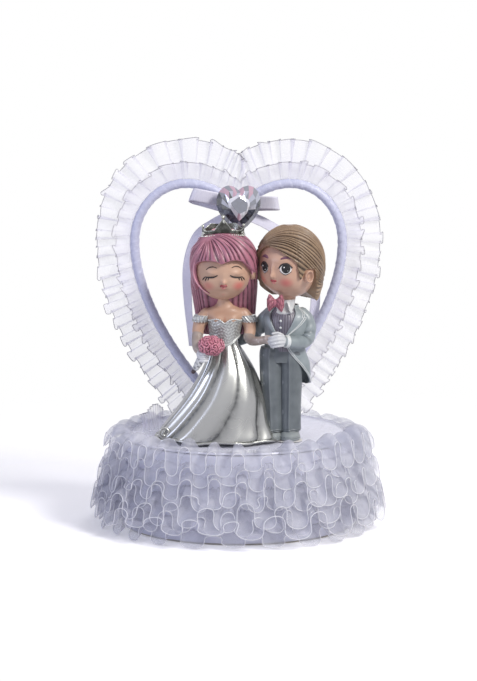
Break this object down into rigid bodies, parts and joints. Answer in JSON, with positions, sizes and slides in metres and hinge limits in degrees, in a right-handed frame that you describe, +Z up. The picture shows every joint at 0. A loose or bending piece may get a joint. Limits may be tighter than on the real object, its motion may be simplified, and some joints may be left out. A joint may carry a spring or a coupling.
{
  "type": "wedding couple cake topper figurine",
  "caption": "Cast bride and groom on a round ruffled drum, under a heart arch of wrapped tube with pleated organza, a satin bow with tails and a heart gem.",
  "frame": {"origin": "on the table, under the drum's axis", "axes": "+Z is up, the couple look towards -Y, and +X is to the right as seen from the front"},
  "size_m": [0.145, 0.145, 0.1869],
  "materials": {
    "foam": "white expanded foam, hidden under the satin",
    "card": "plain grey card",
    "satin": "white satin with a lavender tint",
    "organza": "sheer white organza with a fine corded hem",
    "wrapped_tube": "tube wrapped in lavender white satin ribbon",
    "gem": "clear faceted heart with pink glints",
    "foil": "silver foil behind the gem",
    "glue": "clear to milky craft glue",
    "skin": "warm painted skin on cast resin",
    "pink_hair": "dusty pink paint over grooved resin",
    "brown_hair": "taupe brown paint over grooved resin",
    "tiara_silver": "antiqued silver paint, dark in the recesses",
    "gown_paint": "pearly silver paint, satin sheen",
    "lace_paint": "pale silver paint over carved lace",
    "rose_paint": "rose pink paint",
    "white_paint": "white paint",
    "vest_paint": "mauve grey paint",
    "suit_paint": "blue grey paint, low sheen"
  },
  "bodies": {
    "root": {"base_drum": "foam", "base_bottom_card": "card", "base_top_cover": "satin", "base_side_wrap": "satin", "base_ruffle_1": "organza", "base_ruffle_2": "organza", "base_ruffle_3": "organza", "base_ruffle_4": "organza", "arch_tube": "wrapped_tube", "arch_inner_ruffle_left": "organza", "arch_inner_ruffle_right": "organza", "arch_outer_ruffle_left": "organza", "arch_outer_ruffle_right": "organza", "arch_ruffle_loose_end": "organza", "bow_knot": "satin", "bow_loop_left": "satin", "bow_loop_right": "satin", "ribbon_tail_left": "satin", "ribbon_tail_right": "satin", "heart_gem": "gem", "gem_foil_back": "foil", "glue_pad_bride": "glue", "glue_pad_groom": "glue", "bride_head": "skin", "bride_bust": "skin", "bride_right_arm": "skin", "bride_left_arm": "skin", "bride_fringe": "pink_hair", "bride_hair_cap": "pink_hair", "bride_long_hair": "pink_hair", "bride_tiara": "tiara_silver", "bride_bodice": "lace_paint", "bride_waistband": "lace_paint", "bride_right_sleeve": "lace_paint", "bride_left_sleeve": "lace_paint", "bride_right_glove": "lace_paint", "bride_left_glove": "lace_paint", "bride_skirt": "gown_paint", "bouquet_flowers": "rose_paint", "bouquet_handle": "white_paint", "groom_head": "skin", "groom_hair": "brown_hair", "groom_collar": "white_paint", "groom_bow_tie": "rose_paint", "groom_vest": "vest_paint", "groom_jacket": "suit_paint", "groom_left_lapel": "suit_paint", "groom_right_lapel": "suit_paint", "groom_left_sleeve": "suit_paint", "groom_right_sleeve": "suit_paint", "groom_left_glove": "white_paint", "groom_right_glove": "white_paint", "groom_trousers": "suit_paint", "groom_left_shoe": "suit_paint", "groom_right_shoe": "suit_paint"}
  },
  "joints": []
}
